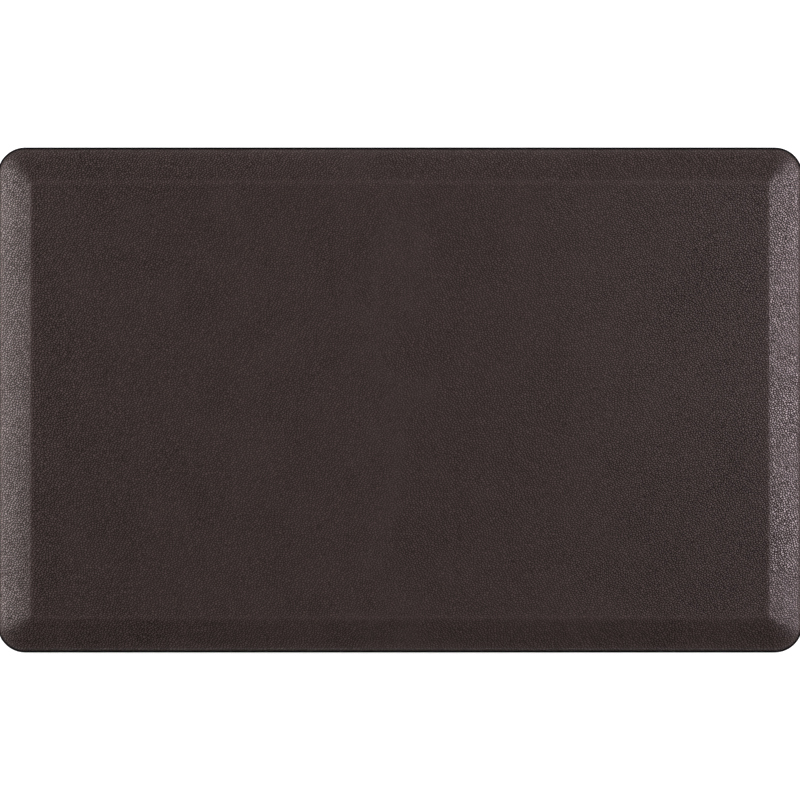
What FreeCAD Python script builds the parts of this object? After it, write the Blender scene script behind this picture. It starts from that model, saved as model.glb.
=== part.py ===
import FreeCAD, Part
import math
import os

# Anti-fatigue standing mat: a moulded textured skin over a foam core, closed underneath by a non-slip
# base sheet with grip dots. Its four borders are bevelled down to a low rounded side, so that nobody
# trips on them, and its corners are rounded in plan.
#
# Frame: millimetres, +Z up. The origin is on the floor under the middle of the mat, X runs along the
# mat's length and Y along its width. The base sheet's rim and the grip dots rest on the plane z = 0.
#
# How it goes together, from the floor up:
#   grip_dots       printed dots, bonded into the shallow field under the base sheet
#   base_sheet      tough sheet with a flat rim that lies on the floor and shows as a ledge all round
#   base_bond_film  adhesive film between the base sheet and the core
#   hem_bond_ring   adhesive ring between the base sheet and the skin's turned-in hem
#   foam_core       resilient foam, with a foot that fills the opening in the hem
#   skin_bond_film  adhesive film between the core and the skin
#   top_skin        the wear surface, its bevels, its side and the hem that wraps under the core

# Overall sizes
mat_length = 813.0
mat_width = 510.0
mat_thickness = 19.0
corner_radius = 28.0      # of the base sheet's outline in plan

# Skin
base_ledge = 2.0          # how far the base sheet shows beyond the skin all round
skin_thickness = 2.0
bevel_run = 35.0          # from the skin's side to the crease where the flat top begins
side_height = 7.0         # floor to where the bevel would meet the upright side, before rounding
bevel_crown = 0.8         # how far the bevel bulges above a straight slope
nose_radius = 7.5         # rounding between the bevel and the upright side
crease_corner_radius = 1.5  # of the flat top's corners in plan
hem_width = 14.0          # how far the hem turns in under the core, inside the skin's wall
hem_thickness = 1.6

# Adhesive
bond_thickness = 0.3
bond_setback = 0.5        # keeps the adhesive ring out of sight inside the skin's side

# Foam core
core_clearance = 0.3      # between the core's foot and the edge of the hem

# Base sheet and grip dots
base_thickness = 2.4
base_edge_radius = 0.5    # rounding of the base sheet's upper and lower rim edges
land_width = 24.0         # flat rim that lies on the floor, round the field of dots
field_corner_radius = 8.0
grip_height = 0.8
grip_diameter = 9.0       # where a dot meets the base sheet
grip_draft = 0.35         # how much smaller in radius a dot is at the floor
grip_pitch = 24.0         # from dot to dot along a row
grip_margin = 5.0         # least bare strip between a dot and the rim

overrun = 5.0             # how far a cutter stands clear of what it cuts
least_inner_radius = 0.2  # rounding left inside the nose where the wall is thicker than the nose
nose_sections = 6         # spans that the nose's arc is lofted through
bevel_sections = 4        # spans that the bevel's arc is lofted through

# Levels that follow from the sizes above
hem_floor = base_thickness + bond_thickness
hem_top = hem_floor + hem_thickness
skin_length = mat_length - 2 * base_ledge
skin_width = mat_width - 2 * base_ledge
skin_corner_radius = corner_radius - base_ledge
core_inset = skin_thickness + bond_thickness
opening_inset = skin_thickness + hem_width
foot_inset = opening_inset + core_clearance


def outline(length, width, radius, height):
    """A centred rounded rectangle as a wire at that height."""
    half_x = length / 2
    half_y = width / 2
    turn = radius * math.sqrt(0.5)
    arcs = []
    ends = []
    # The corners in turn, anticlockwise, each as the signs of its X and Y.
    for sx, sy in [(1, 1), (-1, 1), (-1, -1), (1, -1)]:
        cx = sx * (half_x - radius)
        cy = sy * (half_y - radius)
        on_x_side = FreeCAD.Vector(sx * half_x, cy, height)
        on_y_side = FreeCAD.Vector(cx, sy * half_y, height)
        middle = FreeCAD.Vector(cx + sx * turn, cy + sy * turn, height)
        start, end = (on_x_side, on_y_side) if sx * sy > 0 else (on_y_side, on_x_side)
        arcs.append(Part.Arc(start, middle, end).toShape())
        ends.append((start, end))
    edges = []
    for i in range(4):
        edges.append(arcs[i])
        edges.append(Part.makeLine(ends[i][1], ends[(i + 1) % 4][0]))
    return Part.Wire(edges)


def rounded_slab(length, width, radius, low, high):
    """A prism on a centred rounded rectangle, from height low to height high."""
    base = Part.Face(outline(length, width, radius, low))
    return base.extrude(FreeCAD.Vector(0, 0, high - low))


def bevel_section(depth, floor):
    """The skin's section at a depth inside its surface, as two runs of points (u, z).

    u is the distance in from the skin's side. The first run climbs the side and its nose from height
    floor, and the second climbs the bevel, a shallow arc tangent to the nose, up to the crease.
    """
    # The shallow arc rises by the crown above the chord from the crease to the side.
    fall = mat_thickness - side_height
    chord = math.hypot(bevel_run, fall)
    outer_radius = chord ** 2 / (8 * bevel_crown) + bevel_crown / 2
    drop = outer_radius - bevel_crown
    centre_u = bevel_run / 2 + drop * fall / chord
    centre_z = (mat_thickness + side_height) / 2 - drop * bevel_run / chord
    # Every depth shares the two arcs' centres, so that the layers stay parallel.
    radius = outer_radius - depth
    crease_z = mat_thickness - depth
    crease_u = centre_u - math.sqrt(radius ** 2 - (crease_z - centre_z) ** 2)
    nose = max(nose_radius - depth, least_inner_radius)
    nose_u = depth + nose
    nose_z = centre_z + math.sqrt((radius - nose) ** 2 - (nose_u - centre_u) ** 2)
    crease_angle = math.atan2(crease_z - centre_z, crease_u - centre_u)
    tangent_angle = math.atan2(nose_z - centre_z, nose_u - centre_u)
    # The nose starts at the floor height, or above it, where the side is still upright.
    foot_z = max(nose_z, floor)
    foot_angle = math.pi - math.asin((foot_z - nose_z) / nose)

    climb = [(depth, floor)] if nose_z > floor else []
    for i in range(nose_sections + 1):
        angle = foot_angle + (tangent_angle - foot_angle) * i / nose_sections
        climb.append((nose_u + nose * math.cos(angle), nose_z + nose * math.sin(angle)))
    slope = []
    for i in range(bevel_sections + 1):
        angle = tangent_angle + (crease_angle - tangent_angle) * i / bevel_sections
        slope.append((centre_u + radius * math.cos(angle), centre_z + radius * math.sin(angle)))
    return climb, slope


def bevelled_block(depth, floor):
    """The skin's outer form, taken in by depth all over, standing on height floor.

    In plan its corners are rounded at the side and close to sharp at the crease, so that the bevel
    fans round each corner.
    """
    climb, slope = bevel_section(depth, floor)
    crease_u = slope[-1][0]

    def outline_at(u, z):
        share = (u - depth) / (crease_u - depth)
        radius = (skin_corner_radius - depth) * (1 - share) + crease_corner_radius * share
        return outline(skin_length - 2 * u, skin_width - 2 * u, radius, z)

    def loft(points):
        return Part.makeLoft([outline_at(u, z) for u, z in points], True, False)

    return loft(climb).fuse(loft(slope)).removeSplitter()


def inset_slab(inset, low, high):
    """A slab with the skin's outline taken in by inset; deep in, its corners keep a small radius."""
    radius = max(skin_corner_radius - inset, field_corner_radius)
    return rounded_slab(skin_length - 2 * inset, skin_width - 2 * inset, radius, low, high)


def make_top_skin():
    shell = bevelled_block(0, hem_floor).cut(bevelled_block(skin_thickness, hem_top))
    return shell.cut(inset_slab(opening_inset, hem_floor - overrun, hem_top + bond_thickness))


def make_skin_bond_film():
    return bevelled_block(skin_thickness, hem_top).cut(bevelled_block(core_inset, hem_top))


def make_foam_core():
    body = bevelled_block(core_inset, hem_top)
    foot = inset_slab(foot_inset, hem_floor, hem_top)
    return body.fuse(foot).removeSplitter()


def make_base_bond_film():
    return inset_slab(foot_inset, base_thickness, hem_floor)


def make_hem_bond_ring():
    ring = inset_slab(bond_setback, base_thickness, hem_floor)
    return ring.cut(inset_slab(opening_inset, base_thickness - overrun, hem_floor + overrun))


def make_base_sheet():
    sheet = rounded_slab(mat_length, mat_width, corner_radius, 0, base_thickness)
    rim_edges = [e for e in sheet.Edges if abs(e.tangentAt(e.FirstParameter).z) < 0.5]
    sheet = sheet.makeFillet(base_edge_radius, rim_edges)
    field = rounded_slab(
        mat_length - 2 * land_width,
        mat_width - 2 * land_width,
        field_corner_radius,
        -overrun,
        grip_height,
    )
    return sheet.cut(field)


def make_grip_dots():
    """Separate dots in staggered rows, filling the field evenly about the middle of the mat."""
    reach_x = mat_length / 2 - land_width - grip_margin - grip_diameter / 2
    reach_y = mat_width / 2 - land_width - grip_margin - grip_diameter / 2
    row_pitch = grip_pitch * math.sqrt(0.75)
    rows = int(reach_y / row_pitch)
    dots = []
    for row in range(-rows, rows + 1):
        shift = 0.5 if row % 2 else 0.0
        first = math.ceil(-reach_x / grip_pitch - shift)
        last = math.floor(reach_x / grip_pitch - shift)
        for column in range(first, last + 1):
            dots.append(
                Part.makeCone(
                    grip_diameter / 2 - grip_draft,
                    grip_diameter / 2,
                    grip_height,
                    FreeCAD.Vector((column + shift) * grip_pitch, row * row_pitch, 0),
                )
            )
    return Part.makeCompound(dots)


def main():
    makers = {
        "top_skin": make_top_skin,
        "skin_bond_film": make_skin_bond_film,
        "foam_core": make_foam_core,
        "base_bond_film": make_base_bond_film,
        "hem_bond_ring": make_hem_bond_ring,
        "base_sheet": make_base_sheet,
        "grip_dots": make_grip_dots,
    }
    os.makedirs("parts", exist_ok=True)
    for name, make in makers.items():
        shape = make()
        shape.exportStep("parts/" + name + ".step")
        box = shape.optimalBoundingBox(False)
        print(
            f"{name}: {len(shape.Solids)} solids, valid {shape.isValid()},"
            f" volume {shape.Volume:.0f} mm3, z {box.ZMin:.2f} to {box.ZMax:.2f},"
            f" {box.XLength:.1f} x {box.YLength:.1f}"
        )


main()
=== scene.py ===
import math

import bmesh
import bpy
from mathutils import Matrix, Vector, noise


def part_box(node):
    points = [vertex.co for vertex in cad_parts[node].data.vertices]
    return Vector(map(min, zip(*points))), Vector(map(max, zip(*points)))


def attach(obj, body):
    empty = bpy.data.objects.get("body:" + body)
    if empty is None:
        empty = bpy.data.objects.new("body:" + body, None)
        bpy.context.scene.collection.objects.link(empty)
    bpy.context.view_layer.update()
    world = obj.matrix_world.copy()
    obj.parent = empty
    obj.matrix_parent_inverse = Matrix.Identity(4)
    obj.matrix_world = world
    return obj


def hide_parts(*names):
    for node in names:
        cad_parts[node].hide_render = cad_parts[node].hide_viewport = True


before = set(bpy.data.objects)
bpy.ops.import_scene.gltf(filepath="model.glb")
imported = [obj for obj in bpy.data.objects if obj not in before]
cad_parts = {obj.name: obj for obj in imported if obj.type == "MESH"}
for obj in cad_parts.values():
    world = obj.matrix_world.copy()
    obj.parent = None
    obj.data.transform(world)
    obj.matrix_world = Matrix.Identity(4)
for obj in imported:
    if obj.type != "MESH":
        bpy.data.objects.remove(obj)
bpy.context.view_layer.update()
print("frame loaded:", ", ".join(sorted(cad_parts)))

mm = 0.001  # the frame is in metres

skinLow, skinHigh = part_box("top_skin")
dotsLow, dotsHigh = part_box("grip_dots")


# small helpers, most of them for node trees; sizes in a material are in millimetres

def newMaterial(name):
    material = bpy.data.materials.new(name)
    material.use_nodes = True
    tree = material.node_tree
    tree.nodes.clear()
    output = tree.nodes.new("ShaderNodeOutputMaterial")
    shader = tree.nodes.new("ShaderNodeBsdfPrincipled")
    tree.links.new(shader.outputs["BSDF"], output.inputs["Surface"])
    return material, tree, shader


def placeInMm(tree):
    where = tree.nodes.new("ShaderNodeTexCoord")
    return inMm(tree, where.outputs["Object"])


def inMm(tree, place):
    scaled = tree.nodes.new("ShaderNodeVectorMath")
    scaled.operation = "SCALE"
    scaled.inputs["Scale"].default_value = 1 / mm
    tree.links.new(place, scaled.inputs[0])
    return scaled.outputs[0]


def cloud(tree, place, size, detail=2.0):
    # soft noise with blotches about size across, from 0 to 1
    node = tree.nodes.new("ShaderNodeTexNoise")
    node.inputs["Scale"].default_value = 1 / size
    node.inputs["Detail"].default_value = detail
    tree.links.new(place, node.inputs["Vector"])
    return node


def cells(tree, place, size, feature="F1"):
    # a plane or space filled with cells about size across
    node = tree.nodes.new("ShaderNodeTexVoronoi")
    node.feature = feature
    node.inputs["Scale"].default_value = 1 / size
    tree.links.new(place, node.inputs["Vector"])
    return node


def attribute(tree, name):
    node = tree.nodes.new("ShaderNodeAttribute")
    node.attribute_name = name
    return node.outputs


def axes(tree, place):
    node = tree.nodes.new("ShaderNodeSeparateXYZ")
    tree.links.new(place, node.inputs[0])
    return node.outputs


def remap(tree, value, fromLow, fromHigh, toLow, toHigh):
    # eases from toLow to toHigh while the value goes from fromLow to fromHigh
    node = tree.nodes.new("ShaderNodeMapRange")
    node.interpolation_type = "SMOOTHSTEP"
    for socket, number in zip(node.inputs[1:5], (fromLow, fromHigh, toLow, toHigh)):
        socket.default_value = number
    tree.links.new(value, node.inputs["Value"])
    return node.outputs["Result"]


def patchy(tree, place, size, low, high, detail=3.0, start=0.3, end=0.7):
    # goes from low to high in blotches about size across, while their noise goes from start to end
    return remap(tree, cloud(tree, place, size, detail).outputs["Fac"], start, end, low, high)


def combine(tree, operation, first, second):
    # first and second are sockets or plain numbers
    node = tree.nodes.new("ShaderNodeMath")
    node.operation = operation
    for socket, term in zip(node.inputs, (first, second)):
        if isinstance(term, (int, float)):
            socket.default_value = term
        else:
            tree.links.new(term, socket)
    return node.outputs[0]


def combinePlaces(tree, operation, first, second):
    node = tree.nodes.new("ShaderNodeVectorMath")
    node.operation = operation
    for socket, term in zip(node.inputs, (first, second)):
        if isinstance(term, tuple):
            socket.default_value = term
        else:
            tree.links.new(term, socket)
    return node.outputs[0]


def bendPlace(tree, place, size, reach):
    # shifts each place by up to about reach, in blotches about size across, so that what is drawn there
    # loses its straight lines
    drift = combinePlaces(tree, "SUBTRACT", cloud(tree, place, size).outputs["Color"], (0.5, 0.5, 0.5))
    drift = combinePlaces(tree, "MULTIPLY", drift, (2 * reach, 2 * reach, 2 * reach))
    return combinePlaces(tree, "ADD", place, drift)


def slantPlace(tree, place, degrees, stretch):
    # what is drawn at the new place comes out longer along a line at that angle to X
    turned = tree.nodes.new("ShaderNodeVectorRotate")
    turned.rotation_type = "Z_AXIS"
    turned.inputs["Angle"].default_value = math.radians(-degrees)
    tree.links.new(place, turned.inputs["Vector"])
    return combinePlaces(tree, "MULTIPLY", turned.outputs[0], (1 / stretch, 1, 1))


def mixNumbers(tree, share, first, second):
    node = tree.nodes.new("ShaderNodeMix")
    node.data_type = "FLOAT"
    tree.links.new(share, node.inputs["Factor"])
    tree.links.new(first, node.inputs[2])
    tree.links.new(second, node.inputs[3])
    return node.outputs[0]


def mixColours(tree, share, first, second):
    # each colour is a socket or three numbers
    node = tree.nodes.new("ShaderNodeMix")
    node.data_type = "RGBA"
    tree.links.new(share, node.inputs["Factor"])
    for socket, colour in ((node.inputs[6], first), (node.inputs[7], second)):
        if isinstance(colour, tuple):
            socket.default_value = (*colour, 1)
        else:
            tree.links.new(colour, socket)
    return node.outputs[2]


def addBump(tree, shader, height, depth):
    # a height of 1 stands for the whole depth
    node = tree.nodes.new("ShaderNodeBump")
    node.inputs["Distance"].default_value = depth * mm
    tree.links.new(height, node.inputs["Height"])
    tree.links.new(node.outputs["Normal"], shader.inputs["Normal"])


def addPiece(bm, name, material):
    mesh = bpy.data.meshes.new(name)
    bm.to_mesh(mesh)
    bm.free()
    mesh.materials.append(material)
    piece = bpy.data.objects.new(name, mesh)
    bpy.context.scene.collection.objects.link(piece)
    return piece


# camera, straight above the middle; the skin just fills the frame from end to end

camera = {
    "lens": 85.0,
    "sensor": 36.0,
    "widestLevel": 3 * mm,  # height at which the skin is widest
    "framed": 0.998,  # share of the skin's length that the frame takes in
}


def addCamera():
    data = bpy.data.cameras.new("camera")
    data.sensor_width = camera["sensor"]
    data.lens = camera["lens"]
    data.clip_start = 0.01
    data.clip_end = 50
    viewer = bpy.data.objects.new("camera", data)
    bpy.context.scene.collection.objects.link(viewer)
    framedLength = (skinHigh.x - skinLow.x) * camera["framed"]
    distance = framedLength * camera["lens"] / camera["sensor"]
    viewer.location = (0, 0, camera["widestLevel"] + distance)
    bpy.context.scene.camera = viewer
    print(f"camera {viewer.location.z:.3f} m above the floor")


# leather-grained skin

skin = {
    "bevelRun": 35 * mm,
    "sideHeight": 7 * mm,  # where the bevel would meet the side, before rounding
    "bevelCrown": 0.8 * mm,
    "noseRadius": 7.5 * mm,
    "cornerRadius": 26 * mm,
    "creaseCorner": 1.5 * mm,  # rounding in plan of the flat top's corners
    "wall": 2.0 * mm,
    "hemWidth": 14 * mm,
    "hemThickness": 1.6 * mm,
    "openingCorner": 10 * mm,
    "creaseSoftness": 1.2 * mm,  # how far either side of the crease the slope takes to change
    "gridStep": 5.5 * mm,
    "bevelSteps": 16,  # outside; the skin's inner face has half as many, as it has on the nose
    "noseSteps": 10,
    "cornerSteps": 16,
    "waviness": 0.16 * mm,  # how far the moulded top rises and falls
    "waveLength": 95 * mm,
    "fineWaves": 2.3,  # how many finer waves go into each wave
    "fineShare": 0.5,
    "creaseRub": 2.5 * mm,  # how far either side of the crease the rubbing fades
    "noseRub": 4 * mm,  # the same for the line on the nose that is rubbed most
    "noseRubInset": 4 * mm,  # how far in from the side that line lies
    "noseRubShare": 0.8,  # how rubbed it is, as a share of the crease
    # from here on the finish, with its sizes in millimetres
    "colour": (0.042, 0.0237, 0.0201),
    # near black: painted shade in the grooves between the pebbles
    "grooveShadeColour": (0.002, 0.0011, 0.001),
    "rubbedColour": (0.05, 0.0318, 0.028),
    "blotchShare": 0.22,  # of the rubbed colour in the palest blotches
    "blotchSize": 30,
    "scuffing": (0.1, 0.5),  # least and most of the rubbed colour where the skin is rubbed
    "scuffSize": 7,
    "shineColour": (1.0, 0.88, 0.88),
    "shine": 0.98,
    "grooveShine": 0.1,
    "roughness": 0.32,
    "grooveRoughness": 0.8,
    "roughnessDrift": (-0.02, 0.04),  # what blotches add to the roughness
    "roughnessSize": 18,
    "rubbedGloss": 0.02,  # what rubbing takes off the roughness
    "footLevels": (5.5, 8.5),  # heights between which the side goes from dull to its full shine
    "footRoughness": 0.3,  # added at the foot
    "footShine": 0.4,  # share of the shine that the foot has
    "grainSize": 1.9,  # across a pebble
    "grainStretch": 1.5,  # length of a pebble over its breadth
    "grainSlant": -28,  # angle of the pebbles' length to X, towards the left end
    "slantTurns": (-60, 50),  # distances along X between which it turns to the opposite slant
    "grainDisorder": 0.9,  # 0 for pebbles in straight rows, 1 for pebbles strewn at random
    "grainBend": 0.4,
    "grainBendSize": 6,
    "grooveWidth": 0.4,  # as a share of a pebble
    "lowestPebble": 0.75,  # how proud the flattest pebbles stand, as a share of the proudest
    "grainDepth": 0.08,
    "patchDepth": 0.95,  # of the grooves in the faintest patches, as a share of the full depth
    "patchSize": 48,
    "middleDepth": 0.9,  # the same in the middle of the mat
    "middleFades": (100, 380),  # distances from the middle between which they get their full depth
    "flattening": 0.1,  # how much of the depth is gone where the skin is most worn
    "lowRelief": 0.05,  # share of the grain's relief that is left low on the bevels
    "reliefLevels": (16.5, 18.8),  # heights between which it gets back to the whole
    "rightRelief": 2.2,  # how many times deeper the relief is towards the right end
    "rightReliefFades": (40, 220),  # distances along X between which it gets there
    "borderBend": 130,  # how far the borders that lie across X wander
    "borderBendSize": 40,
    "wrinkleSize": 1.4,
    "wrinkleShare": 0.25,
}


def pebbles(tree, place, slant):
    # rounded tops with a groove between each and the next, drawn out along a slant
    drawn = slantPlace(tree, place, slant, skin["grainStretch"])
    edges = cells(tree, drawn, skin["grainSize"], "DISTANCE_TO_EDGE")
    tones = cells(tree, drawn, skin["grainSize"])
    for node in (edges, tones):
        node.voronoi_dimensions = "2D"
        node.inputs["Randomness"].default_value = skin["grainDisorder"]
    tops = remap(tree, edges.outputs["Distance"], 0, skin["grooveWidth"], 0, 1)
    # no two pebbles stand equally proud
    proud = remap(tree, tones.outputs["Color"], 0, 1, skin["lowestPebble"], 1)
    return combine(tree, "MULTIPLY", tops, proud)


def grainTops(tree, place, drifting, rub):
    # 1 on the pebbles' tops, falling to 0 in the grooves between them
    # the grain is drawn on the skin laid out flat, so that it doesn't stretch down the sides
    laidOut = inMm(tree, attribute(tree, "unrolled")["Vector"])
    bent = bendPlace(tree, laidOut, skin["grainBendSize"], skin["grainBend"])
    # the pebbles lean one way towards the left end and the other way towards the right
    lean = remap(tree, drifting["X"], *skin["slantTurns"], 0, 1)
    leftWay = pebbles(tree, bent, skin["grainSlant"])
    rightWay = pebbles(tree, bent, -skin["grainSlant"])
    grooves = combine(tree, "SUBTRACT", 1, mixNumbers(tree, lean, leftWay, rightWay))
    # the grooves are fainter in some patches and in the middle of the mat, and wear flattens them
    shallowest = skin["patchDepth"]
    faint = patchy(tree, place, skin["patchSize"], shallowest, 1, detail=2.0, start=0.35, end=0.65)
    offMiddle = combine(tree, "ABSOLUTE", drifting["X"], 0)
    fading = remap(tree, offMiddle, *skin["middleFades"], skin["middleDepth"], 1)
    faint = combine(tree, "MULTIPLY", faint, fading)
    flattened = combine(tree, "MULTIPLY", rub, skin["flattening"])
    faint = combine(tree, "MULTIPLY", faint, combine(tree, "SUBTRACT", 1, flattened))
    return combine(tree, "SUBTRACT", 1, combine(tree, "MULTIPLY", grooves, faint))


def skinMaterial():
    material, tree, shader = newMaterial("grained_skin")
    place = placeInMm(tree)
    level = axes(tree, place)["Z"]
    # borders drawn on the bent place wander, so that none shows as a line
    drifting = axes(tree, bendPlace(tree, place, skin["borderBendSize"], skin["borderBend"]))
    rub = attribute(tree, "rub")["Fac"]
    tops = grainTops(tree, place, drifting, rub)

    wrinkles = cloud(tree, place, skin["wrinkleSize"]).outputs["Fac"]
    height = combine(tree, "ADD", tops, combine(tree, "MULTIPLY", wrinkles, skin["wrinkleShare"]))
    # the relief is shallower down the bevels, and deeper towards the right end
    relief = remap(tree, level, *skin["reliefLevels"], skin["lowRelief"], 1)
    deeper = remap(tree, drifting["X"], *skin["rightReliefFades"], 1, skin["rightRelief"])
    relief = combine(tree, "MULTIPLY", relief, deeper)
    addBump(tree, shader, combine(tree, "MULTIPLY", height, relief), skin["grainDepth"])

    # the grooves are painted near black, as painted shade in them; the tops carry pale blotches, and the
    # rubbed edges are scuffed
    colour = mixColours(tree, tops, skin["grooveShadeColour"], skin["colour"])
    blotches = patchy(tree, place, skin["blotchSize"], 0, skin["blotchShare"])
    colour = mixColours(tree, combine(tree, "MULTIPLY", blotches, tops), colour, skin["rubbedColour"])
    scuffed = patchy(tree, place, skin["scuffSize"], *skin["scuffing"], detail=4.0, start=0.4)
    worn = combine(tree, "MULTIPLY", rub, combine(tree, "MULTIPLY", scuffed, tops))
    tree.links.new(mixColours(tree, worn, colour, skin["rubbedColour"]), shader.inputs["Base Color"])

    # grooves are duller than the pebbles' tops, and rubbed edges a little shinier
    dull = remap(tree, tops, 0, 1, skin["grooveRoughness"], skin["roughness"])
    dull = combine(tree, "SUBTRACT", dull, combine(tree, "MULTIPLY", worn, skin["rubbedGloss"]))
    # the foot of the side isn't wiped or rubbed, so it is duller still
    foot = remap(tree, level, *skin["footLevels"], 1, 0)
    dull = combine(tree, "ADD", dull, combine(tree, "MULTIPLY", foot, skin["footRoughness"]))
    drift = patchy(tree, place, skin["roughnessSize"], *skin["roughnessDrift"])
    tree.links.new(combine(tree, "ADD", dull, drift), shader.inputs["Roughness"])
    # hardly any light gets back out of the grooves
    shine = remap(tree, tops, 0, 1, skin["grooveShine"], skin["shine"])
    shine = combine(tree, "MULTIPLY", shine, remap(tree, foot, 0, 1, 1, skin["footShine"]))
    tree.links.new(shine, shader.inputs["Specular IOR Level"])
    shader.inputs["Specular Tint"].default_value = (*skin["shineColour"], 1)
    return material


def bevelSection(depth, floor, bevelSteps, noseSteps):
    # the skin's section at a depth inside its outer surface, from the crease down to the level floor,
    # as points of (inset, height)
    top = skinHigh.z
    run = skin["bevelRun"]
    fall = top - skin["sideHeight"]
    chord = math.hypot(run, fall)
    outerRadius = chord**2 / (8 * skin["bevelCrown"]) + skin["bevelCrown"] / 2
    drop = outerRadius - skin["bevelCrown"]
    centreU = run / 2 + drop * fall / chord
    centreZ = (top + skin["sideHeight"]) / 2 - drop * run / chord
    radius = outerRadius - depth
    creaseZ = top - depth
    creaseU = centreU - math.sqrt(radius**2 - (creaseZ - centreZ) ** 2)
    nose = skin["noseRadius"] - depth
    noseU = skin["noseRadius"]
    noseZ = centreZ + math.sqrt((radius - nose) ** 2 - (noseU - centreU) ** 2)
    creaseAngle = math.atan2(creaseZ - centreZ, creaseU - centreU)
    meetAngle = math.atan2(noseZ - centreZ, noseU - centreU)
    footAngle = math.pi - math.asin((floor - noseZ) / nose)
    points = []
    for i in range(bevelSteps):
        angle = creaseAngle + (meetAngle - creaseAngle) * i / bevelSteps
        points.append((centreU + radius * math.cos(angle), centreZ + radius * math.sin(angle)))
    for i in range(noseSteps + 1):
        angle = meetAngle + (footAngle - meetAngle) * i / noseSteps
        points.append((noseU + nose * math.cos(angle), noseZ + nose * math.sin(angle)))
    return points


def softenCrease(points):
    # swaps the sharp crease for a short curve from the flat top into the bevel
    crease, away = points[0], points[1]
    soft = skin["creaseSoftness"]
    share = soft / (crease[0] - away[0])
    start = (crease[0] + soft, crease[1])
    end = (crease[0] - soft, crease[1] + (away[1] - crease[1]) * share)
    curve = []
    for t in (0, 0.25, 0.5, 0.75, 1):
        a, b, c = (1 - t) ** 2, 2 * t * (1 - t), t**2
        curve.append(tuple(a * start[k] + b * crease[k] + c * end[k] for k in (0, 1)))
    # one more point further in keeps the bend away from the flat sheet
    return [(crease[0] + 3 * soft, crease[1])] + curve + points[1:]


def withCorners(points, depth, creaseInset):
    # adds each point's corner radius in plan, so that the bevel fans round the corner
    ringed = []
    for inset, height in points:
        share = min(1, (inset - depth) / (creaseInset - depth))
        radius = (skin["cornerRadius"] - depth) * (1 - share) + skin["creaseCorner"] * share
        ringed.append((inset, height, radius))
    return ringed


def ringAt(inset, height, radius, stepsX, stepsY):
    # points of a rounded rectangle, anticlockwise from the lower end of the right side
    armX = skinHigh.x - inset - radius
    armY = skinHigh.y - inset - radius
    arc = skin["cornerSteps"]
    points = []
    corners = [(1, -1), (1, 1), (-1, 1), (-1, -1)]
    for side in range(4):
        ax, ay = corners[side]
        bx, by = corners[(side + 1) % 4]
        outward = math.radians(90 * side)
        steps = stepsY if side % 2 == 0 else stepsX
        for i in range(steps):
            t = i / steps
            x = (ax + (bx - ax) * t) * armX + radius * math.cos(outward)
            y = (ay + (by - ay) * t) * armY + radius * math.sin(outward)
            points.append((x, y, height))
        for i in range(arc):
            angle = outward + math.radians(90) * i / arc
            x = bx * armX + radius * math.cos(angle)
            y = by * armY + radius * math.sin(angle)
            points.append((x, y, height))
    return points


def rise(x, y, inset):
    # the moulded top's slow waves, fading out down the bevel
    fade = min(1, max(0, inset / skin["bevelRun"]))
    at = Vector((x, y, 0)) / skin["waveLength"]
    elsewhere = Vector((7, 3, 1))  # so that the finer waves don't follow the others
    wave = noise.noise(at) + skin["fineShare"] * noise.noise(at * skin["fineWaves"] + elsewhere)
    return skin["waviness"] * wave * fade


def rubbing(inset, creaseInset):
    # 1 where feet and cloths rub most, along the crease, and less along the nose and away from both
    onCrease = math.exp(-(((inset - creaseInset) / skin["creaseRub"]) ** 2))
    onNose = math.exp(-(((inset - skin["noseRubInset"]) / skin["noseRub"]) ** 2))
    return max(onCrease, skin["noseRubShare"] * onNose)


def skinPath():
    # the section outside, from the flat top round the nose to the hem, and inside, along the hem and up
    # to the ceiling, as points of (inset, height, corner radius), then the crease's inset
    hemFloor = skinLow.z
    hemTop = hemFloor + skin["hemThickness"]
    opening = skin["wall"] + skin["hemWidth"]
    corner = skin["openingCorner"]

    outer = bevelSection(0, hemFloor, skin["bevelSteps"], skin["noseSteps"])
    crease = outer[0][0]
    outer = withCorners(softenCrease(outer), 0, crease)
    inner = bevelSection(skin["wall"], hemTop, skin["bevelSteps"] // 2, skin["noseSteps"] // 2)
    innerCrease = inner[0][0]
    inner = [(innerCrease + skin["creaseSoftness"], inner[0][1])] + inner
    inner = withCorners(inner, skin["wall"], innerCrease)
    hem = [(opening, hemFloor, corner), (opening, hemTop, corner)]
    return outer, hem + inner[::-1], crease


def addRings(bm, outside, inside, crease, stepsX, stepsY):
    # a ring for each point of the section, joined to the next; its points know how rubbed they are and
    # where they would lie on the skin laid out flat
    rub = bm.verts.layers.float.new("rub")
    unrolled = bm.verts.layers.float_vector.new("unrolled")
    path = outside + inside
    rings = []
    gone = 0  # how far along the path, from the flat top outwards
    for n, (inset, height, radius) in enumerate(path):
        gone += math.dist((inset, height), path[max(n - 1, 0)][:2])
        further = gone - (path[0][0] - inset)
        isOutside = n < len(outside)
        places = ringAt(inset, height, radius, stepsX, stepsY)
        laidOut = ringAt(inset - further, 0, radius + further, stepsX, stepsY)
        ring = []
        for (x, y, z), flat in zip(places, laidOut):
            vert = bm.verts.new((x, y, z + (rise(x, y, inset) if isOutside else 0)))
            vert[unrolled] = flat
            vert[rub] = rubbing(inset, crease) if isOutside else 0
            ring.append(vert)
        rings.append(ring)
    for ringA, ringB in zip(rings, rings[1:]):
        for i in range(len(ringA)):
            j = (i + 1) % len(ringA)
            bm.faces.new((ringA[i], ringB[i], ringB[j], ringA[j]))
    return rings


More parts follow.
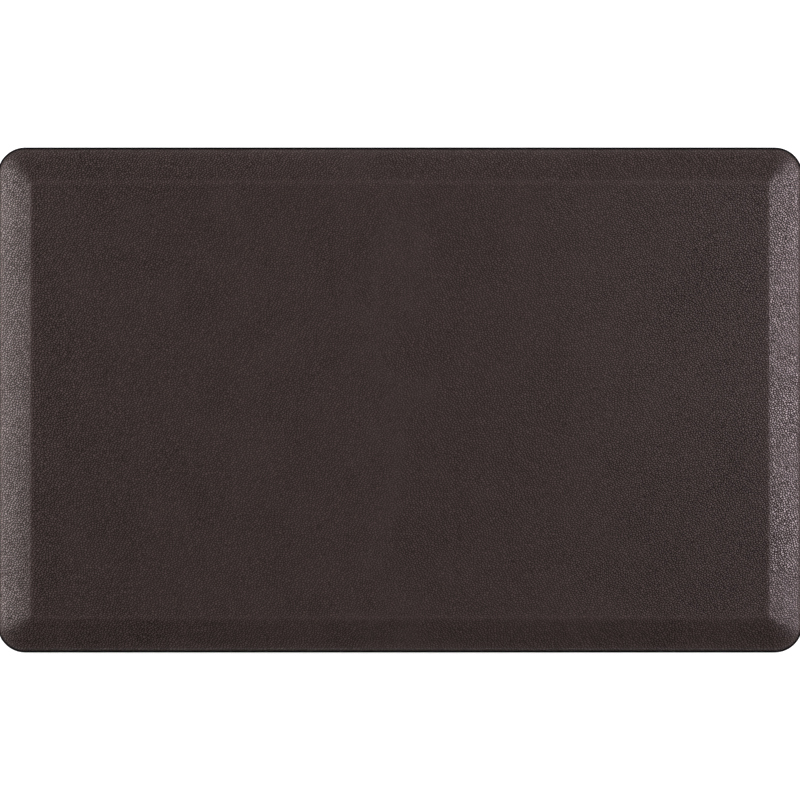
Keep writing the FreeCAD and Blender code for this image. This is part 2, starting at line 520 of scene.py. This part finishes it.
def addSheet(bm, ring, level, waves, stepsX, stepsY):
    # a sheet inside a ring, joined to it all round, with slow waves for the top and none for the ceiling
    unrolled = bm.verts.layers.float_vector["unrolled"]
    reachX = max(v.co.x for v in ring) - skin["creaseCorner"]
    reachY = max(v.co.y for v in ring) - skin["creaseCorner"]
    grid = []
    for j in range(stepsY + 1):
        row = []
        for i in range(stepsX + 1):
            x = reachX * (2 * i / stepsX - 1)
            y = reachY * (2 * j / stepsY - 1)
            vert = bm.verts.new((x, y, level + (rise(x, y, skin["bevelRun"]) if waves else 0)))
            vert[unrolled] = (x, y, 0)
            row.append(vert)
        grid.append(row)
    for j in range(stepsY):
        for i in range(stepsX):
            bm.faces.new((grid[j][i], grid[j][i + 1], grid[j + 1][i + 1], grid[j + 1][i]))
    # the grid's border, in the ring's order, with each corner repeated for its arc
    arc = skin["cornerSteps"]
    border = [grid[j][stepsX] for j in range(stepsY)] + [grid[stepsY][stepsX]] * arc
    border += [grid[stepsY][i] for i in range(stepsX, 0, -1)] + [grid[stepsY][0]] * arc
    border += [grid[j][0] for j in range(stepsY, 0, -1)] + [grid[0][0]] * arc
    border += [grid[0][i] for i in range(stepsX)] + [grid[0][stepsX]] * arc
    for i in range(len(ring)):
        j = (i + 1) % len(ring)
        corners = [ring[i], ring[j], border[j], border[i]]
        if border[i] == border[j]:
            corners.pop()
        bm.faces.new(corners)


def buildSkin():
    stepsX = round((skinHigh.x - skinLow.x) / skin["gridStep"])
    stepsY = round((skinHigh.y - skinLow.y) / skin["gridStep"])
    outside, inside, crease = skinPath()
    bm = bmesh.new()
    rings = addRings(bm, outside, inside, crease, stepsX, stepsY)
    addSheet(bm, rings[0], outside[0][1], True, stepsX, stepsY)
    addSheet(bm, rings[-1], inside[-1][1], False, stepsX, stepsY)
    bmesh.ops.recalc_face_normals(bm, faces=bm.faces)
    for face in bm.faces:
        face.smooth = True
    piece = addPiece(bm, "grained_skin", skinMaterial())
    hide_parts("top_skin")
    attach(piece, "root")
    print(f"skin: {len(piece.data.vertices)} points, {len(piece.data.polygons)} faces")


# grip pads under the mat, printed dots with softly rounded faces

gripPads = {
    "diameter": 9.0 * mm,  # where a pad meets the base sheet
    "draft": 0.35 * mm,  # how much smaller in radius its lower rim is
    "rounding": 0.35 * mm,
    "pitch": 24.0 * mm,
    "segments": 20,
    "crown": 0.12 * mm,  # how far the middle of a pad stands proud of its rim
    "domeRing": 0.55,  # radius of the ring between a pad's middle and its rim, as a share of the rim's
    "domeRise": 0.3,  # how far that ring lies above the pad's middle, as a share of the crown
    "colour": (0.016, 0.0145, 0.0145),
    "dustColour": (0.055, 0.05, 0.046),
    "mostDust": 0.45,
    "dustSize": 3.5,  # in millimetres, as are the next sizes and the depth
    "patchSize": 60.0,
    "cleanest": 0.2,  # share of the dust that lies in the cleanest patches
    "roughness": 0.42,
    "dustRoughness": 0.7,
    "pittingSize": 0.9,
    "pittingDepth": 0.05,
}


def gripMaterial():
    material, tree, shader = newMaterial("grip_rubber")
    place = placeInMm(tree)
    most = gripPads["mostDust"]
    dust = patchy(tree, place, gripPads["dustSize"], 0, most, detail=4.0, start=0.5, end=0.75)
    cleanest = gripPads["cleanest"]
    patches = patchy(tree, place, gripPads["patchSize"], cleanest, 1, detail=2.0, start=0.4, end=0.65)
    dust = combine(tree, "MULTIPLY", dust, patches)
    colour = mixColours(tree, dust, gripPads["colour"], gripPads["dustColour"])
    tree.links.new(colour, shader.inputs["Base Color"])
    dull = remap(tree, dust, 0, most, gripPads["roughness"], gripPads["dustRoughness"])
    tree.links.new(dull, shader.inputs["Roughness"])
    pitting = cloud(tree, place, gripPads["pittingSize"], 3.0).outputs["Fac"]
    addBump(tree, shader, pitting, gripPads["pittingDepth"])
    return material


def addPad(bm, middleX, middleY, low, high):
    # rings from the middle of the lower face out to the rim and up to the base sheet
    top = gripPads["diameter"] / 2
    rim = top - gripPads["draft"]
    soft = gripPads["rounding"]
    crown = gripPads["crown"]
    cut = 0.3 * soft  # from the middle of the rounding to the face and to the side
    profile = [
        (rim * gripPads["domeRing"], low + crown * gripPads["domeRise"]),
        (rim - soft, low + crown),
        (rim - cut, low + crown + cut),
        (rim, low + crown + soft),
        (top, high),
    ]
    count = gripPads["segments"]
    centre = bm.verts.new((middleX, middleY, low))
    rings = []
    for radius, height in profile:
        ring = []
        for i in range(count):
            angle = 2 * math.pi * i / count
            x = middleX + radius * math.cos(angle)
            y = middleY + radius * math.sin(angle)
            ring.append(bm.verts.new((x, y, height)))
        rings.append(ring)
    for i in range(count):
        j = (i + 1) % count
        bm.faces.new((centre, rings[0][j], rings[0][i]))
        for inner, outer in zip(rings, rings[1:]):
            bm.faces.new((inner[i], inner[j], outer[j], outer[i]))
    bm.faces.new(rings[-1])


def buildGripPads():
    pitch = gripPads["pitch"]
    rowPitch = pitch * math.sqrt(0.75)
    reachX = dotsHigh.x - gripPads["diameter"] / 2
    rows = round((dotsHigh.y - gripPads["diameter"] / 2) / rowPitch)
    slack = 0.01  # of a pitch, so that rounding doesn't drop a row's last pad
    bm = bmesh.new()
    for row in range(-rows, rows + 1):
        shift = 0.5 if row % 2 else 0.0
        first = math.ceil(-reachX / pitch - shift - slack)
        last = math.floor(reachX / pitch - shift + slack)
        for column in range(first, last + 1):
            addPad(bm, (column + shift) * pitch, row * rowPitch, dotsLow.z, dotsHigh.z)
    bmesh.ops.recalc_face_normals(bm, faces=bm.faces)
    for face in bm.faces:
        face.smooth = len(face.verts) < gripPads["segments"]  # all but the flat side on the base sheet
    piece = addPiece(bm, "grip_pads", gripMaterial())
    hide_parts("grip_dots")
    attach(piece, "root")
    print(f"grip pads: {len(piece.data.vertices)} points, {len(piece.data.polygons)} faces")


# base sheet, foam and adhesive keep their solids and get finishes, with sizes in millimetres

baseSheet = {
    "colour": (0.002, 0.0017, 0.0017),
    "dustColour": (0.012, 0.011, 0.0105),
    "mostDust": 0.35,
    "dustSize": 22.0,
    "shine": 0.08,
    "roughness": 0.8,
    "roughnessDrift": (-0.06, 0.06),  # what blotches add to the roughness
    "roughnessSize": 9.0,
    "hatchStep": 1.3,  # between the lines of the cross-hatch
    "hatchDepth": 0.08,
}

foamCore = {
    "colour": (0.2, 0.19, 0.175),
    # dark: painted shade in the pores' hollows
    "poreShadeColour": (0.045, 0.042, 0.04),
    "poreSize": 0.9,
    "poreEdge": (0.1, 0.6),  # distances from a pore's middle, in pores, between which foam takes over
    "poreDepth": 0.35,
    "roughness": (0.86, 0.96),  # least and most
    "roughnessSize": 12.0,
}

adhesive = {
    "colour": (0.55, 0.49, 0.36),
    "thinColour": (0.4, 0.34, 0.22),
    "runSize": 5.0,
    "runDepth": 0.15,
    "roughness": 0.38,
    "roughnessDrift": (-0.08, 0.12),
    "roughnessSize": 14.0,
}


def lines(tree, place, degrees, step):
    # parallel ridges at that angle to X, from 0 to 1
    turned = slantPlace(tree, place, degrees, 1)
    node = tree.nodes.new("ShaderNodeTexWave")
    node.inputs["Scale"].default_value = math.pi / 10 / step  # at scale 1 the waves are pi / 10 long
    tree.links.new(turned, node.inputs["Vector"])
    return node.outputs["Fac"]


def baseMaterial():
    material, tree, shader = newMaterial("base_rubber")
    place = placeInMm(tree)
    rising, falling = (lines(tree, place, angle, baseSheet["hatchStep"]) for angle in (45, -45))
    hatch = combine(tree, "MAXIMUM", rising, falling)
    addBump(tree, shader, hatch, baseSheet["hatchDepth"])
    most = baseSheet["mostDust"]
    dust = patchy(tree, place, baseSheet["dustSize"], 0, most, detail=5.0, start=0.45, end=0.8)
    dust = combine(tree, "MULTIPLY", dust, hatch)
    colour = mixColours(tree, dust, baseSheet["colour"], baseSheet["dustColour"])
    tree.links.new(colour, shader.inputs["Base Color"])
    drift = patchy(tree, place, baseSheet["roughnessSize"], *baseSheet["roughnessDrift"])
    tree.links.new(combine(tree, "ADD", drift, baseSheet["roughness"]), shader.inputs["Roughness"])
    shader.inputs["Specular IOR Level"].default_value = baseSheet["shine"]
    return material


def foamMaterial():
    material, tree, shader = newMaterial("open_foam")
    place = placeInMm(tree)
    fromPore = cells(tree, place, foamCore["poreSize"]).outputs["Distance"]
    pores = remap(tree, fromPore, *foamCore["poreEdge"], 0, 1)
    addBump(tree, shader, pores, foamCore["poreDepth"])
    # the pores' hollows are painted dark, as painted shade in them
    colour = mixColours(tree, pores, foamCore["poreShadeColour"], foamCore["colour"])
    tree.links.new(colour, shader.inputs["Base Color"])
    dull = patchy(tree, place, foamCore["roughnessSize"], *foamCore["roughness"])
    tree.links.new(dull, shader.inputs["Roughness"])
    return material


def adhesiveMaterial():
    material, tree, shader = newMaterial("hot_melt")
    place = placeInMm(tree)
    runs = cloud(tree, place, adhesive["runSize"], 4.0).outputs["Fac"]
    thin = remap(tree, runs, 0.35, 0.65, 0, 1)
    colour = mixColours(tree, thin, adhesive["colour"], adhesive["thinColour"])
    tree.links.new(colour, shader.inputs["Base Color"])
    drift = patchy(tree, place, adhesive["roughnessSize"], *adhesive["roughnessDrift"], detail=2.0)
    tree.links.new(combine(tree, "ADD", drift, adhesive["roughness"]), shader.inputs["Roughness"])
    addBump(tree, shader, runs, adhesive["runDepth"])
    return material


def finishSolids():
    hotMelt = adhesiveMaterial()
    finishes = {
        "base_sheet": baseMaterial(),
        "foam_core": foamMaterial(),
        "skin_bond_film": hotMelt,
        "base_bond_film": hotMelt,
        "hem_bond_ring": hotMelt,
    }
    for name, material in finishes.items():
        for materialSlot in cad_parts[name].material_slots:
            materialSlot.material = material
    print("solids finished:", ", ".join(finishes))


# floor and light

room = {
    "floorSize": 8.0,
    "floorGap": 0.05 * mm,  # how far the floor lies below the mat, so that the two don't flicker
    "floorColour": (0.82, 0.82, 0.82),
    "floorLift": 0.45,  # white added where the floor is seen or mirrored; it keeps the mat's shadow
    "farLift": 1.0,  # the same far from the mat, where the lamps hardly reach
    "liftFades": (900, 2600),  # millimetres from the mat's middle between which it changes
    "ambient": 0.15,
    "overhead": 0.3,  # how bright the surroundings look straight above; they are white at eye level
    "overheadFades": (0.04, 0.3),  # sines of the angles above the horizon between which they darken
}

# soft panels that face the mat: angle from +X, angle above the floor, and distance and sizes in metres
lamps = {
    "left": {
        "around": 172,
        "above": 25,
        "far": 1.8,
        "wide": 1.6,
        "high": 0.7,
        "watts": 38,
        "colour": (1.0, 0.98, 0.99),
    },
    "right": {
        "around": 8,
        "above": 30,
        "far": 1.9,
        "wide": 1.7,
        "high": 0.7,
        "watts": 43,
        "colour": (1.0, 0.95, 1.03),
    },
    "back": {
        "around": 90,
        "above": 32,
        "far": 2.6,
        "wide": 2.4,
        "high": 0.8,
        "watts": 3.5,
        "colour": (1.0, 0.97, 0.95),
    },
}


def seenRays(tree):
    # 1 where a thing is seen, straight on or mirrored, and 0 where its light only falls on the mat
    rays = tree.nodes.new("ShaderNodeLightPath").outputs
    mirrored = combine(tree, "MAXIMUM", rays["Is Glossy Ray"], rays["Is Transmission Ray"])
    return combine(tree, "MAXIMUM", rays["Is Camera Ray"], mirrored)


def addFloor():
    mesh = bpy.data.meshes.new("floor")
    half = room["floorSize"] / 2
    low = -room["floorGap"]
    corners = [(-half, -half, low), (half, -half, low), (half, half, low), (-half, half, low)]
    mesh.from_pydata(corners, [], [(0, 1, 2, 3)])
    floor = bpy.data.objects.new("floor", mesh)
    bpy.context.scene.collection.objects.link(floor)
    material = bpy.data.materials.new("floor")
    material.use_nodes = True
    tree = material.node_tree
    tree.nodes.clear()
    output = tree.nodes.new("ShaderNodeOutputMaterial")
    paint = tree.nodes.new("ShaderNodeBsdfDiffuse")
    paint.inputs["Color"].default_value = (*room["floorColour"], 1)
    glow = tree.nodes.new("ShaderNodeEmission")
    away = tree.nodes.new("ShaderNodeVectorMath")
    away.operation = "LENGTH"
    tree.links.new(placeInMm(tree), away.inputs[0])
    lift = remap(tree, away.outputs["Value"], *room["liftFades"], room["floorLift"], room["farLift"])
    lift = combine(tree, "MULTIPLY", seenRays(tree), lift)
    tree.links.new(lift, glow.inputs["Strength"])
    both = tree.nodes.new("ShaderNodeAddShader")
    tree.links.new(paint.outputs[0], both.inputs[0])
    tree.links.new(glow.outputs[0], both.inputs[1])
    tree.links.new(both.outputs[0], output.inputs["Surface"])
    mesh.materials.append(material)


def addSurroundings():
    # a faint even light falls from all round, and what is seen or mirrored is white with a dimmer top
    world = bpy.data.worlds.new("studio")
    bpy.context.scene.world = world
    world.use_nodes = True
    tree = world.node_tree
    tree.nodes.clear()
    output = tree.nodes.new("ShaderNodeOutputWorld")
    seen = tree.nodes.new("ShaderNodeBackground")
    lit = tree.nodes.new("ShaderNodeBackground")
    lit.inputs["Strength"].default_value = room["ambient"]
    for sky in (seen, lit):
        sky.inputs["Color"].default_value = (1, 1, 1, 1)
    where = tree.nodes.new("ShaderNodeTexCoord")
    upwards = axes(tree, where.outputs["Generated"])["Z"]
    level = remap(tree, upwards, *room["overheadFades"], 1, room["overhead"])
    tree.links.new(level, seen.inputs["Strength"])
    mix = tree.nodes.new("ShaderNodeMixShader")
    tree.links.new(seenRays(tree), mix.inputs["Fac"])
    tree.links.new(lit.outputs[0], mix.inputs[1])
    tree.links.new(seen.outputs[0], mix.inputs[2])
    tree.links.new(mix.outputs[0], output.inputs["Surface"])


def addLamps():
    for name, lamp in lamps.items():
        data = bpy.data.lights.new(name, "AREA")
        data.shape = "RECTANGLE"
        data.size = lamp["wide"]
        data.size_y = lamp["high"]
        data.energy = lamp["watts"]
        data.color = lamp["colour"]
        panel = bpy.data.objects.new(name, data)
        bpy.context.scene.collection.objects.link(panel)
        around, above = math.radians(lamp["around"]), math.radians(lamp["above"])
        alongFloor = math.cos(above)
        towards = Vector((math.cos(around) * alongFloor, math.sin(around) * alongFloor, math.sin(above)))
        panel.location = towards * lamp["far"]
        panel.rotation_euler = towards.to_track_quat("Z", "Y").to_euler()
        panel.visible_camera = False
    print("room lit by", len(lamps), "lamps")


addCamera()
buildSkin()
buildGripPads()
finishSolids()
addFloor()
addSurroundings()
addLamps()
bpy.context.scene.view_settings.view_transform = "Standard"
